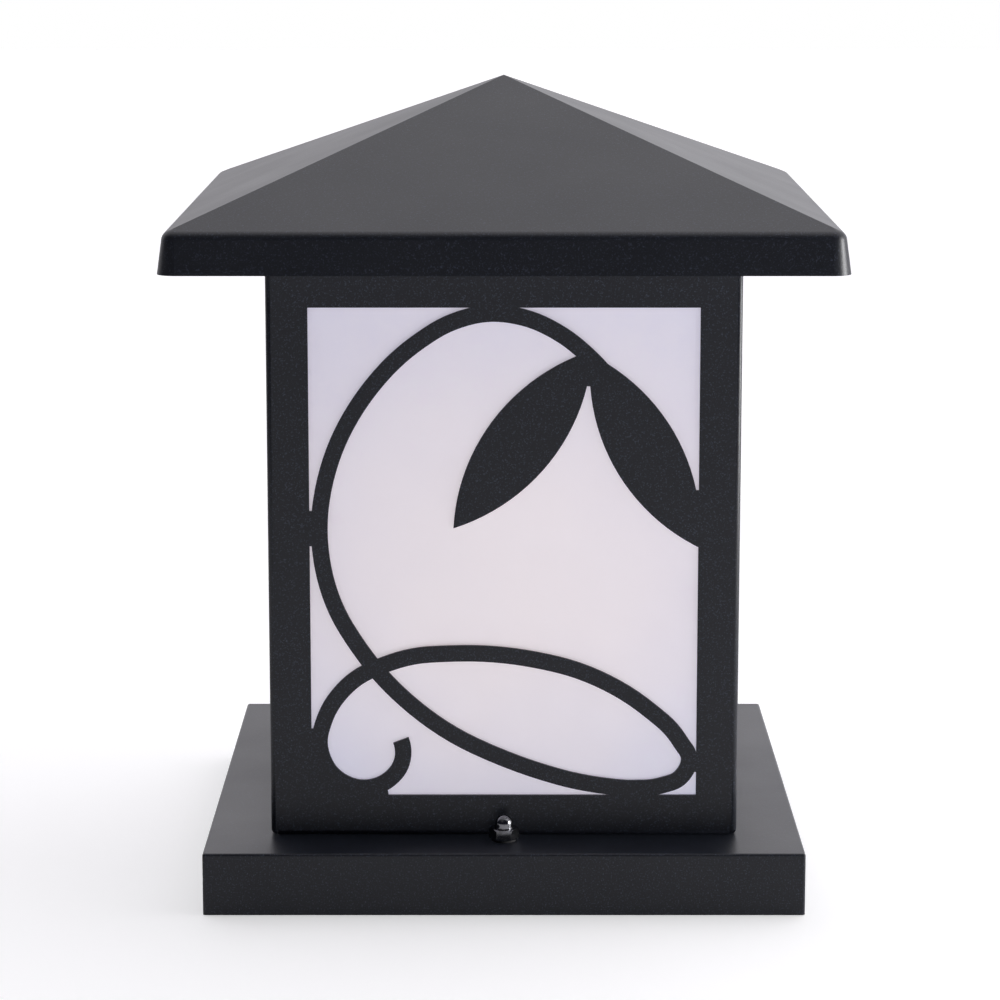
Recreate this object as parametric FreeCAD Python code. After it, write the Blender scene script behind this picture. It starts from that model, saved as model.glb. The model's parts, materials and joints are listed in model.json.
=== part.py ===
"""Deck post cap light: a folded lantern with laser-cut vine panels on a square base pan.

The frame is millimetres, +Z up, the front faces -Y.  The origin is the centre of the base
pan's lower rim, on top of the post.  The cover (base pan, body, roof) lifts off upwards; the
strap, the lampholder and the bulb stay on the post.
"""
import FreeCAD
import Part
import math
import os

V = FreeCAD.Vector
UP = V(0, 0, 1)

# ---------------------------------------------------------------- driving dimensions, mm
SHEET = 1.2                 # sheet of the pan, the panels and the roof
SEAT_GAP = 0.3              # between the cover and what stays on the post
SLIP = 0.2                  # loose fit of panes and sleeves in their seats
RUN = 0.05                  # radial clearance of a threaded or turning fit
PAST = 1.0                  # how far a cutter runs past the face it opens
THREAD_OUT = 1.0            # how far a screw stands out of its nut
NEGLIGIBLE = 1e-6           # shorter than any real edge

BASE_SIDE = 228.0
BASE_HEIGHT = 24.0
BASE_EDGE = 1.0             # fold radius, outside
BASE_OPENING = 140.0        # square hole that the bulb passes when the cover lifts
OPENING_CORNER = 6.0

BODY_SIDE = 179.0
BODY_FOLD = 2.0             # fold radius, outside
BODY_FLANGE = 12.0          # in-turned foot of each panel
FOLD_RELIEF = 0.6           # notch where the corner fold meets the foot fold
MITRE_GAP = 0.3

ROOF_BOTTOM = 245.0
ROOF_SIDE = 253.0
ROOF_SKIRT = 15.0           # height of the leaning skirt, shoulder included
ROOF_APEX = 310.0
ROOF_LEAN = 8.0             # degrees off upright
ROOF_CORNER = 7.0           # plan radius of the skirt's corners
ROOF_SHOULDER = 3.8         # outside radius between skirt and slope
HEM_WIDTH = 10.0
HEM_NOTCH = 5.0
SOFFIT_LEDGE = 14.5         # from the body's outer face to the soffit's opening
SOFFIT_GAP = 0.5

WINDOW_WIDTH = 147.3
WINDOW_HEIGHT = 188.6
WINDOW_BOTTOM = 40.0
VINE_WIDTH = 6.3
LEAF_RADIUS = 75.5          # both edges of both leaves

PANE_THICKNESS = 2.0
PANE_INSET = 10.5           # from the body's outer face to a pane's side edge
PANE_HEADROOM = 3.0
ANGLE_SHEET = 1.0
ANGLE_LIP = 4.5             # how far a corner angle reaches behind a pane
ANGLE_TAB = 11.5            # square tab under the soffit, at the top of each angle
ANGLE_BEND = 0.5

STRAP_WIDTH = 30.0
STRAP_SHEET = 2.0
STRAP_FLAT = 124.0          # length that lies on the post, between the legs' centres
STRAP_LENGTH = 216.0
STRAP_BEND = 2.0
POST_SLOT_SPACING = 96.0
POST_SLOT_LENGTH = 16.0
POST_SLOT_WIDTH = 5.5

STUD_RADIUS = 2.5
STUD_Y = 95.4
STUD_TOP = 29.5
STUD_HEAD_RADIUS = 3.75
STUD_HEAD_HEIGHT = 1.5
STUD_CHAMFER = 0.5
STUD_HOLE_GAP = 0.4         # pan hole round a stud, radial
NUT_FLATS = 10.0
NUT_HEX_HEIGHT = 4.2
NUT_DOME_RADIUS = 3.4
NUT_DOME_HEIGHT = 4.9
NUT_BORE_SPARE = 1.0        # depth of the blind bore past the stud
WASHER_RADIUS = 4.6
WASHER_THICKNESS = 0.8

BRACKET_SHEET = 1.5
BRACKET_WIDTH = 30.0
BRACKET_SPAN = 44.0         # between the legs' centres
BRACKET_FOOT = 14.0
BRACKET_HEIGHT = 20.0       # above the strap
BRACKET_BEND = 1.5

HOLDER_BASE_RADIUS = 22.0
HOLDER_BASE_HEIGHT = 9.0
HOLDER_RADIUS = 19.0
HOLDER_HEIGHT = 46.0
HOLDER_FLOOR = 16.0
HOLDER_RIM = 2.0
HOLDER_SCREW_X = 9.0
TERMINAL_WIDTH = 7.6
TERMINAL_DEPTH = 5.2
TERMINAL_HEIGHT = 6.4
TERMINAL_FLOOR = 2.5        # ceramic under a holder terminal
SLEEVE_SHEET = 0.4
SLEEVE_DROP = 2.0           # sleeve's rim below the ceramic rim
CONTACT_SHEET = 0.5
CONTACT_WIDTH = 5.0
CONTACT_RISE = 5.0
CONTACT_FOOT = (-8.0, 6.0)  # ends of its flat, along Y
CONTACT_TIP = (-4.0, 3.5)   # ends of the raised part

BULB_RADIUS = 30.0
BULB_HEIGHT = 106.7         # centre contact to the top of the glass
BULB_CAP_RADIUS = 13.23
BULB_CAP_HEIGHT = 24.0
CAP_PLAY = 0.07             # radial, between the cap and the sleeve
BULB_NECK_RADIUS = 12.9
BULB_NECK_HEIGHT = 6.0
BULB_TAPER = 30.0           # degrees between the bulb's flank and upright
TIP_RADIUS = 4.5
TIP_HEIGHT = 1.7
TIP_PIN_RADIUS = 2.0
TIP_EDGE = 0.8
INSULATOR_HEIGHT = 3.0
INSULATOR_RADIUS = 10.5

BLOCK_LENGTH = 30.0
BLOCK_WIDTH = 16.0
BLOCK_HEIGHT = 13.0
BLOCK_CLEAR = 5.0           # between the strap's leg and the block, from the leg's centre
BLOCK_EDGE = 1.0
BLOCK_SCREW_REACH = 9.0     # how far the block's screws go into it
WAY_PITCH = 9.0
INSERT_RADIUS = 2.2
INSERT_BORE = 1.6
CLAMP_RADIUS = 1.5
CLAMP_SPACING = 8.0

GROMMET_BORE = 4.5
GROMMET_RADIUS = 6.4
GROMMET_LIP = 2.1
GROMMET_LIP_HEIGHT = 1.6
GROMMET_EDGE = 0.5

# Threads: nominal radius, head radius, head height, nut across flats, nut height
M3 = (1.5, 2.75)            # countersunk, without a nut
M35 = (1.75, 3.1, 2.1, 6.0, 2.8)
M4 = (2.0, 4.0, 2.4, 7.0, 3.2)
HOLE_GAP = 0.2              # radial gap of a screw in a clearance hole
EARTH_Z = 12.0
EARTH_WASHER = 1.0
EARTH_LENGTH = 8.0
BODY_SCREW_SPACING = 90.0
BODY_SCREW_INSET = 9.5      # from the panel's outer face
ROOF_SCREW_INSET = 10.5
SLOT_DEPTH = 0.8            # screwdriver slots
SLOT_WIDTH = 0.8

# ---------------------------------------------------------------- levels that follow
PAN_UNDER = BASE_HEIGHT - SHEET
BODY_BOTTOM = BASE_HEIGHT
BODY_TOP = ROOF_BOTTOM + SHEET
BODY_HALF = BODY_SIDE / 2
BODY_INNER = BODY_HALF - SHEET
STRAP_TOP = PAN_UNDER - SEAT_GAP
STRAP_UNDER = STRAP_TOP - STRAP_SHEET
PANE_WIDTH = BODY_SIDE - 2 * PANE_INSET
PANE_FACE = BODY_INNER - SLIP
SOFFIT_OPENING = BODY_SIDE - 2 * SOFFIT_LEDGE
PANE_BACK = PANE_FACE - PANE_THICKNESS
LIP_FACE = PANE_BACK - SLIP
FOLD_INSIDE = BODY_FOLD - SHEET
FOLD_TOP = BODY_BOTTOM + BODY_FOLD          # where a panel's foot fold ends
# a pane stands in the hollow of that fold, SLIP behind the wall
PANE_BOTTOM = FOLD_TOP - math.sqrt(FOLD_INSIDE ** 2 - (FOLD_INSIDE - SLIP) ** 2) + RUN
LIP_BACK = LIP_FACE - ANGLE_SHEET
BRACKET_TOP = STRAP_SHEET + BRACKET_HEIGHT
HOLDER_CAVITY_FLOOR = BRACKET_TOP + HOLDER_FLOOR
HOLDER_TOP = BRACKET_TOP + HOLDER_HEIGHT
SLEEVE_BORE = BULB_CAP_RADIUS + CAP_PLAY
SLEEVE_RADIUS = SLEEVE_BORE + SLEEVE_SHEET
CAVITY_RADIUS = SLEEVE_RADIUS + SLIP
TIP_BOTTOM = HOLDER_CAVITY_FLOOR + CONTACT_RISE + SEAT_GAP
NUT_BOTTOM = BASE_HEIGHT + WASHER_THICKNESS
WAY_Z = STRAP_UNDER - BLOCK_HEIGHT / 2
BLOCK_Y = STRAP_FLAT / 2 + BLOCK_CLEAR + BLOCK_WIDTH / 2

# ---------------------------------------------------------------- the vine, as drawn
# The drawing's own window, mm; every point is from its lower left corner, seen from outside.
DRAWN_WIDTH = 147.3
DRAWN_HEIGHT = 188.6
# Centre line of the stem, from the cut end inside the hook to where the leaves spring.
STEM = [(34.2, 21.7), (34.5, 13.0), (28.6, 5.4), (20.1, 2.8), (9.5, 6.7), (3.2, 18.5),
        (5.5, 31.0), (13.8, 43.0), (33.2, 53.1), (57.7, 55.8), (82.1, 53.9), (105.7, 47.6),
        (126.9, 35.4), (140.6, 22.0), (144.6, 13.6), (141.6, 7.2), (133.5, 3.6), (123.0, 2.7),
        (110.0, 3.9), (79.6, 12.1), (46.9, 28.7), (21.1, 54.2), (7.8, 78.3), (3.8, 100.0),
        (8.4, 130.6), (21.1, 155.0), (40.2, 174.7), (55.0, 183.4), (67.0, 186.3),
        (80.5, 185.0), (95.5, 178.2), (105.2, 170.4), (110.8, 164.6)]
LEFT_LEAF = ((106.8, 172.4), (54.5, 104.4))
RIGHT_LEAF = ((106.1, 170.9), (147.7, 96.9))
LEAF_JOINT = (106.0, 164.3)  # middle of the round joint of leaves and stem
LEAF_JOINT_RADIUS = 5.5
# Where the pattern stays joined to its border: left, right, bottom, top
TIES = ((0.0, 3.8, 97.5, 111.0), (145.4, DRAWN_WIDTH, 98.0, 119.0),
        (144.6, DRAWN_WIDTH, 9.2, 17.0))
# The lower left corner is left whole outside the hook
WHOLE_CORNER = ((0.0, 0.0), (29.4, 0.0), (28.6, 4.5), (20.1, 2.8), (9.5, 6.7), (3.2, 18.5),
                (1.6, 26.2), (0.0, 26.2))


# ================================================================ helpers
def save(shape, name):
    """Write one sub-part to its STEP file."""
    os.makedirs("parts", exist_ok=True)
    shape.exportStep("parts/" + name + ".step")


def group(solids):
    """Several equal pieces kept as one sub-part of separate solids."""
    return Part.makeCompound(solids)


def cylinder(radius, bottom, top, x=0.0, y=0.0):
    """An upright cylinder between two heights."""
    return Part.makeCylinder(radius, top - bottom, V(x, y, bottom))


def block(width, depth, bottom, top, x=0.0, y=0.0):
    """An upright block centred on x, y."""
    return Part.makeBox(width, depth, top - bottom, V(x - width / 2, y - depth / 2, bottom))


def rounded_plate(half, corner, bottom, top):
    """A square plate with rounded plan corners."""
    plate = block(2 * half, 2 * half, bottom, top)
    uprights = [e for e in plate.Edges if abs(e.tangentAt(e.FirstParameter).z) > 0.9]
    return plate.makeFillet(corner, uprights)


def hexagon(flats, bottom, top, x=0.0, y=0.0):
    """A hexagonal prism with two flats facing +Y and -Y."""
    corner = flats / math.sqrt(3)
    points = [V(x + corner * math.cos(math.radians(60 * k)),
                y + corner * math.sin(math.radians(60 * k)), bottom) for k in range(7)]
    return Part.Face(Part.makePolygon(points)).extrude(UP * (top - bottom))


def turned(profile, x=0.0, y=0.0):
    """A solid of revolution about an upright axis, from (radius, height) corners."""
    points = [V(r, 0, z) for r, z in profile]
    shape = Part.Face(Part.makePolygon(points + points[:1])).revolve(V(0, 0, 0), UP, 360)
    shape.translate(V(x, y, 0))
    return shape


def quarter_turned(shape, quarters):
    """A copy turned about the lantern's axis by quarter turns."""
    copy = shape.copy()
    copy.rotate(V(0, 0, 0), UP, 90 * quarters)
    return copy


def four_sides(shape):
    """The shape on all four sides."""
    return [quarter_turned(shape, k) for k in range(4)]


def bent_profile(corners, thickness, bend, place):
    """Closed face of a bent sheet seen end on.

    corners is the sheet's centre line, bend the inside radius of every fold, and place
    turns a pair of the drawing into a point in space.
    """
    flat = [V(u, v, 0) for u, v in corners]
    runs = [(b - a).normalize() for a, b in zip(flat, flat[1:])]
    left, right = (side_line(flat, runs, side * thickness / 2, bend + thickness / 2)
                   for side in (1, -1))
    ends = [(left[0][0], right[0][0]), (left[-1][-1], right[-1][-1])]
    edges = [drawn_edge(piece, place) for piece in left + right + ends]
    return Part.Face(Part.Wire(Part.__sortEdges__(edges)))


def side_line(flat, runs, shift, centre_radius):
    """One face of a bent sheet: lines and fold arcs, each a tuple of two or three points."""
    normals = [V(-run.y, run.x, 0) for run in runs]
    pieces = []
    start = flat[0] + normals[0] * shift
    for k in range(1, len(runs)):
        turn = math.atan2(runs[k - 1].cross(runs[k]).z, runs[k - 1].dot(runs[k]))
        half_tan = math.tan(abs(turn) / 2)
        sign = 1 if turn > 0 else -1
        radius = centre_radius - sign * shift
        corner = flat[k] + normals[k - 1] * shift + runs[k - 1] * (-sign * shift * half_tan)
        begin = corner - runs[k - 1] * (radius * half_tan)
        end = corner + runs[k] * (radius * half_tan)
        centre = begin + normals[k - 1] * (sign * radius)
        middle = centre + (corner - centre).normalize() * radius
        pieces += [(start, begin), (begin, middle, end)]
        start = end
    pieces.append((start, flat[-1] + normals[-1] * shift))
    return [piece for piece in pieces if (piece[-1] - piece[0]).Length > NEGLIGIBLE]


def drawn_edge(points, place):
    """A line or a three-point arc of a drawing, set in space."""
    spots = [place(p.x, p.y) for p in points]
    if len(spots) == 2:
        return Part.LineSegment(*spots).toShape()
    return Part.Arc(*spots).toShape()


def machine_screw(size, tip, seat, x=0.0, y=0.0):
    """A cheese-head screw that points down: shank from tip up to the head's seat."""
    radius, head_radius, head_height = size[:3]
    head = cylinder(head_radius, seat, seat + head_height, x, y)
    slot = block(3 * head_radius, SLOT_WIDTH, seat + head_height - SLOT_DEPTH,
                 seat + 2 * head_height, x, y)
    return head.fuse(cylinder(radius, tip, seat, x, y)).cut(slot).removeSplitter()


def pointing_up(screw, seat):
    """Turn a downward screw over about its seat, so that it enters from below."""
    copy = screw.copy()
    copy.rotate(V(0, copy.BoundBox.Center.y, seat), V(1, 0, 0), 180)
    return copy


def nut(size, bottom, x=0.0, y=0.0):
    """A plain hexagon nut on its thread."""
    radius, flats, height = size[0], size[3], size[4]
    bore = cylinder(radius + RUN, bottom - PAST, bottom + height + PAST, x, y)
    return hexagon(flats, bottom, bottom + height, x, y).cut(bore)


# ================================================================ laser-cut vine
def pattern_point(a, b):
    """A point of the drawing on the front panel's plane, in the window as it is sized now."""
    return V(a * WINDOW_WIDTH / DRAWN_WIDTH - WINDOW_WIDTH / 2, 0,
             b * WINDOW_HEIGHT / DRAWN_HEIGHT + WINDOW_BOTTOM)


def left_of(run):
    """The unit vector to the left of a run on the panel's plane."""
    return V(-run.z, 0, run.x)


def stem_arcs():
    """The stem's centre line as tangent arcs, two between each pair of drawn points."""
    points = [pattern_point(a, b) for a, b in STEM]
    runs = [b - a for a, b in zip(points, points[1:])]
    inner = [(p * (1 / p.Length ** 2) + q * (1 / q.Length ** 2)).normalize()
             for p, q in zip(runs, runs[1:])]
    first = mirrored(inner[0], runs[0])
    last = mirrored(inner[-1], runs[-1])
    tangents = [first] + inner + [last]
    arcs = []
    for k, run in enumerate(runs):
        arcs += tangent_pair(points[k], tangents[k], points[k + 1], tangents[k + 1], run)
    return arcs


def mirrored(tangent, run):
    """The tangent at the other end of a single arc over the run."""
    along = V(run).normalize()
    return along * (2 * along.dot(tangent)) - tangent


def tangent_pair(start, t_start, end, t_end, run):
    """Two arcs that leave start along t_start and reach end along t_end."""
    reach = run.dot(t_start + t_end)
    spread = 2 * (1 - t_start.dot(t_end))
    if spread < NEGLIGIBLE ** 2:
        arm = run.Length ** 2 / (4 * run.dot(t_end))
    else:
        arm = (math.sqrt(reach ** 2 + spread * run.Length ** 2) - reach) / spread
    joint = (start + end + (t_start - t_end) * arm) * 0.5
    first = one_arc(start, left_of(t_start), joint)
    return [first, one_arc(joint, first[2][1], end)]


def one_arc(start, normal, end):
    """Start, middle and end of an arc, each with its left normal."""
    chord = end - start
    bulge = 2 * normal.dot(chord)
    if abs(bulge) < NEGLIGIBLE * chord.Length:
        return [(start, normal), ((start + end) * 0.5, normal), (end, normal)]
    radius = chord.Length ** 2 / bulge
    centre = start + normal * radius
    middle = centre + ((start + end) * 0.5 - centre).normalize() * abs(radius)
    return [(p, (centre - p) * (1 / radius)) for p in (start, middle, end)]


def ribbon(arcs, width):
    """The face between the two edges of a band that follows the arcs."""
    sides = []
    for shift in (width / 2, -width / 2):
        sides.append([[p + n * shift for p, n in arc] for arc in arcs])
    edges = [Part.Arc(*points).toShape() for side in sides for points in side]
    edges.append(Part.LineSegment(sides[0][0][0], sides[1][0][0]).toShape())
    edges.append(Part.LineSegment(sides[0][-1][2], sides[1][-1][2]).toShape())
    return Part.Face(Part.Wire(Part.__sortEdges__(edges)))


def leaf(ends):
    """A leaf between two arcs of one radius that meet at both ends."""
    root, tip = (pattern_point(*end) for end in ends)
    chord = tip - root
    middle = (root + tip) * 0.5
    rise = LEAF_RADIUS - math.sqrt(LEAF_RADIUS ** 2 - chord.Length ** 2 / 4)
    aside = left_of(V(chord).normalize()) * rise
    edges = [Part.Arc(root, middle + aside * s, tip).toShape() for s in (1, -1)]
    return Part.Face(Part.Wire(Part.__sortEdges__(edges)))


def polygon(corners):
    """The face inside some points of the drawing."""
    points = [pattern_point(*corner) for corner in corners]
    return Part.Face(Part.makePolygon(points + points[:1]))


def window_cuts():
    """The faces that the laser removes from the window."""
    window = polygon(((0, 0), (DRAWN_WIDTH, 0), (DRAWN_WIDTH, DRAWN_HEIGHT), (0, DRAWN_HEIGHT)))
    arcs = stem_arcs()
    # two faces, parted well away from the stem's crossing of itself
    parting = len(arcs) // 2
    joint = Part.Circle(pattern_point(*LEAF_JOINT), V(0, 1, 0), LEAF_JOINT_RADIUS).toShape()
    kept = [ribbon(arcs[:parting + 1], VINE_WIDTH), ribbon(arcs[parting - 1:], VINE_WIDTH),
            leaf(LEFT_LEAF), leaf(RIGHT_LEAF), Part.Face(Part.Wire(joint)), polygon(WHOLE_CORNER)]
    for left, right, low, high in TIES:
        kept.append(polygon(((left, low), (right, low), (right, high), (left, high))))
    return window.cut(kept).Faces


# ================================================================ the cover
def base_pan():
    """Folded tray, open underneath, with the opening that the bulb passes."""
    half = BASE_SIDE / 2
    outer = block(BASE_SIDE, BASE_SIDE, 0, BASE_HEIGHT)
    folds = [e for e in outer.Edges if e.BoundBox.ZMax > BASE_HEIGHT / 2]
    outer = outer.makeFillet(BASE_EDGE, folds)
    inner_half = half - SHEET
    pan = outer.cut(block(2 * inner_half, 2 * inner_half, -PAST, PAN_UNDER))
    pan = pan.cut(rounded_plate(BASE_OPENING / 2, OPENING_CORNER, 0, BASE_HEIGHT + PAST))
    holes = [cylinder(M4[0] + HOLE_GAP, 0, BASE_HEIGHT + PAST, x, y) for x, y in body_screw_places()]
    for y in (STUD_Y, -STUD_Y):
        holes.append(cylinder(STUD_RADIUS + STUD_HOLE_GAP, 0, BASE_HEIGHT + PAST, 0, y))
    return pan.cut(holes)


def body_screw_places():
    """The eight screws that hold the panels' feet on the pan, two to a side."""
    inset = BODY_HALF - BODY_SCREW_INSET
    places = []
    for k in range(4):
        for x in (-BODY_SCREW_SPACING / 2, BODY_SCREW_SPACING / 2):
            spot = V(x, -inset, 0)
            angle = math.radians(90 * k)
            places.append((spot.x * math.cos(angle) - spot.y * math.sin(angle),
                           spot.x * math.sin(angle) + spot.y * math.cos(angle)))
    return places


def front_panel():
    """Folded sheet: window wall, right-hand corner fold and in-turned mitred foot."""
    fold_end = BODY_HALF - BODY_FOLD
    middle = BODY_HALF - SHEET / 2
    wall = bent_profile([(-fold_end, -middle), (middle, -middle), (middle, -fold_end)],
                        SHEET, FOLD_INSIDE, lambda u, v: V(u, v, FOLD_TOP))
    wall = wall.extrude(UP * (BODY_TOP - FOLD_TOP))
    foot_reach = fold_end - FOLD_RELIEF
    foot = bent_profile([(-middle, FOLD_TOP), (-middle, BODY_BOTTOM + SHEET / 2),
                         (BODY_FLANGE - BODY_HALF, BODY_BOTTOM + SHEET / 2)],
                        SHEET, FOLD_INSIDE, lambda u, v: V(-foot_reach, u, v))
    foot = foot.extrude(V(2 * foot_reach, 0, 0))
    wedge = Part.Face(Part.makePolygon([V(0, -MITRE_GAP, 0), V(-BODY_SIDE, -BODY_SIDE - MITRE_GAP, 0),
                                        V(BODY_SIDE, -BODY_SIDE - MITRE_GAP, 0), V(0, -MITRE_GAP, 0)]))
    foot = foot.common(wedge.extrude(UP * BODY_TOP))
    panel = wall.fuse(foot).removeSplitter()
    cuts = []
    for face in window_cuts():
        face.translate(V(0, -BODY_HALF - PAST, 0))
        cuts.append(face.extrude(V(0, SHEET + 2 * PAST, 0)))
    for x in (-BODY_SCREW_SPACING / 2, BODY_SCREW_SPACING / 2):
        cuts.append(cylinder(M4[0] + HOLE_GAP, BODY_BOTTOM - PAST, BODY_BOTTOM + SHEET + PAST,
                             x, BODY_SCREW_INSET - BODY_HALF))
    return panel.cut(cuts)


def front_pane():
    """Opal sheet behind the front panel, standing in the fold of the panel's foot."""
    return Part.makeBox(PANE_WIDTH, PANE_THICKNESS, BODY_TOP - PANE_HEADROOM - PANE_BOTTOM,
                        V(-PANE_WIDTH / 2, -PANE_FACE, PANE_BOTTOM))


def corner_angle():
    """Joins two panels in the front right corner and holds the edges of two panes."""
    half_sheet = ANGLE_SHEET / 2
    leg = BODY_INNER - half_sheet
    lip = LIP_FACE - half_sheet
    step = PANE_WIDTH / 2 + SLIP + half_sheet
    reach = PANE_WIDTH / 2 - ANGLE_LIP
    corners = [(reach, -lip), (step, -lip), (step, -leg), (leg, -leg), (leg, -step), (lip, -step),
               (lip, -reach)]
    angle = bent_profile(corners, ANGLE_SHEET, ANGLE_BEND, lambda u, v: V(u, v, FOLD_TOP))
    angle = angle.extrude(UP * (BODY_TOP - FOLD_TOP))
    centre = LIP_BACK - ANGLE_TAB / 2
    tab = block(ANGLE_TAB + 2 * half_sheet, ANGLE_TAB + 2 * half_sheet, BODY_TOP - ANGLE_SHEET,
                BODY_TOP, centre + half_sheet, -centre - half_sheet)
    inset = BODY_HALF - ROOF_SCREW_INSET
    hole = cylinder(M4[0] + HOLE_GAP, BODY_TOP - 2 * ANGLE_SHEET, BODY_TOP + PAST, inset, -inset)
    return angle.fuse(tab).cut(hole).removeSplitter()


def roof_section(sheet):
    """Half outline of the roof from the rim to the ridge line, moved inwards by a sheet."""
    lean = math.radians(ROOF_LEAN)
    half = ROOF_SIDE / 2
    skirt_top = half - ROOF_SKIRT * math.tan(lean)
    slope = math.atan2(ROOF_APEX - ROOF_BOTTOM - ROOF_SKIRT, skirt_top)
    radius = ROOF_SHOULDER - sheet
    rim = half - sheet / math.cos(lean)
    apex = ROOF_APEX - sheet / math.cos(slope)
    # where the moved skirt line and the moved slope line cross
    height = (apex - rim * math.tan(slope) - ROOF_BOTTOM) / (1 - math.tan(lean) * math.tan(slope))
    corner = V(rim - height * math.tan(lean), 0, ROOF_BOTTOM + height)
    down = V(math.sin(lean), 0, -math.cos(lean))
    inward = V(-math.cos(slope), 0, math.sin(slope))
    cut = radius * math.tan((math.pi / 2 - slope - lean) / 2)
    begin, end = corner + down * cut, corner + inward * cut
    centre = begin - V(math.cos(lean), 0, math.sin(lean)) * radius
    middle = centre + (corner - centre).normalize() * radius
    return V(rim, 0, ROOF_BOTTOM), begin, middle, end, V(0, 0, apex)


def roof_form(sheet):
    """Solid under the roof's outside, or under its inside when moved in by a sheet."""
    rim, begin, middle, end, apex = roof_section(sheet)
    drop = PAST if sheet else 0.0
    foot = V(rim.x, 0, rim.z - drop)
    reach = ROOF_SIDE
    half = [Part.LineSegment(rim, begin).toShape(), Part.Arc(begin, middle, end).toShape(),
            Part.LineSegment(end, apex).toShape()]
    if drop:
        half.append(Part.LineSegment(foot, rim).toShape())
    other = [edge.mirror(V(0, 0, 0), V(1, 0, 0)) for edge in half]
    floor = Part.LineSegment(V(-foot.x, 0, foot.z), foot).toShape()
    outline = Part.Face(Part.Wire(Part.__sortEdges__(half + other + [floor])))
    outline.translate(V(0, -reach, 0))
    gable = outline.extrude(V(0, 2 * reach, 0))
    form = gable.common(quarter_turned(gable, 1))
    return round_corners(form, half, foot, apex)


def round_corners(form, half, foot, apex):
    """Swap the form's mitred corners for the same section turned about an upright axis."""
    axis = ROOF_SIDE / 2 - ROOF_CORNER
    floor = Part.LineSegment(V(0, 0, foot.z), foot).toShape()
    spine = Part.LineSegment(V(0, 0, foot.z), apex).toShape()
    section = Part.Face(Part.Wire(Part.__sortEdges__(half + [floor, spine])))
    height = ROOF_APEX - foot.z
    keep = Part.makeBox(2 * ROOF_CORNER, 2 * PAST, height, V(axis, -PAST, foot.z))
    outer_bit = section.common(keep).Faces[0]
    turned_bit = outer_bit.revolve(V(axis, 0, 0), UP, 90)
    turned_bit.translate(V(0, axis, 0))
    square = Part.makeBox(2 * ROOF_CORNER, 2 * ROOF_CORNER, height, V(axis, axis, foot.z))
    form = form.cut(four_sides(square))
    return form.fuse(four_sides(turned_bit)).removeSplitter()


def roof_cap():
    """Folded pyramid with a leaning skirt and a narrow in-turned hem."""
    shell = roof_form(0.0).cut(roof_form(SHEET))
    length = ROOF_SIDE / 2 - ROOF_CORNER - HEM_NOTCH
    inner = ROOF_SIDE / 2 - SHEET - HEM_WIDTH
    outer = ROOF_SIDE / 2 - SHEET
    corners = [V(-length, -outer, 0), V(length, -outer, 0), V(length - HEM_WIDTH, -inner, 0),
               V(HEM_WIDTH - length, -inner, 0)]
    hem = Part.Face(Part.makePolygon(corners + corners[:1])).extrude(UP * SHEET)
    hem.translate(UP * ROOF_BOTTOM)
    return shell.fuse(four_sides(hem)).removeSplitter()


def soffit_half():
    """Half side of the soffit plate, inside the skirt at the plate's upper face."""
    lean = math.radians(ROOF_LEAN)
    skirt = ROOF_SIDE / 2 - 2 * SHEET * math.tan(lean) - SHEET / math.cos(lean)
    return skirt - SOFFIT_GAP


def roof_screw_places():
    """The four corner screws between the angles' tabs and the soffit."""
    inset = BODY_HALF - ROOF_SCREW_INSET
    return [(x, y) for x in (inset, -inset) for y in (inset, -inset)]


def roof_soffit():
    """Plate ring that lies on the hem and on the body, and carries the roof."""
    plate = rounded_plate(soffit_half(), ROOF_CORNER - SHEET, BODY_TOP, BODY_TOP + SHEET)
    plate = plate.cut(rounded_plate(SOFFIT_OPENING / 2, OPENING_CORNER, BODY_TOP - PAST,
                                    BODY_TOP + SHEET + PAST))
    holes = [cylinder(M4[0] + HOLE_GAP, BODY_TOP - PAST, BODY_TOP + SHEET + PAST, x, y)
             for x, y in roof_screw_places()]
    return plate.cut(holes)


def roof_screws():
    """Four screws up through the tabs and the soffit."""
    seat = BODY_TOP - ANGLE_SHEET
    length = ANGLE_SHEET + SHEET + M4[4] + THREAD_OUT
    return group([pointing_up(machine_screw(M4, seat - length, seat, x, y), seat)
                  for x, y in roof_screw_places()])


def roof_nuts():
    """Their nuts, on top of the soffit."""
    return group([nut(M4, BODY_TOP + SHEET, x, y) for x, y in roof_screw_places()])


def body_screws():
    """Eight screws up through the pan and the panels' feet."""
    length = 2 * SHEET + M4[4] + THREAD_OUT
    return group([pointing_up(machine_screw(M4, PAN_UNDER - length, PAN_UNDER, x, y), PAN_UNDER)
                  for x, y in body_screw_places()])


def body_nuts():
    """Their nuts, on the feet inside the lantern."""
    return group([nut(M4, BODY_BOTTOM + SHEET, x, y) for x, y in body_screw_places()])


def cap_nut(y):
    """Domed nut with a blind bore, one flat facing front."""
    hex_top = NUT_BOTTOM + NUT_HEX_HEIGHT
    body = hexagon(NUT_FLATS, NUT_BOTTOM, hex_top, 0, y)
    corner = NUT_FLATS / math.sqrt(3)
    bevel = corner - NUT_FLATS / 2
    rim = turned([(0, NUT_BOTTOM), (corner - bevel, NUT_BOTTOM), (corner, NUT_BOTTOM + bevel / 2),
                  (corner, hex_top - bevel / 2), (corner - bevel, hex_top), (0, hex_top)], 0, y)
    body = body.common(rim)
    top = hex_top + NUT_DOME_HEIGHT
    collar = top - NUT_DOME_RADIUS
    dome = cylinder(NUT_DOME_RADIUS, hex_top, collar, 0, y)
    ball = Part.makeSphere(NUT_DOME_RADIUS, V(0, y, collar), UP, 0, 90, 360)
    bore = cylinder(STUD_RADIUS + RUN, NUT_BOTTOM, STUD_TOP + NUT_BORE_SPARE, 0, y)
    return body.fuse([dome, ball]).cut(bore).removeSplitter()


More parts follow.
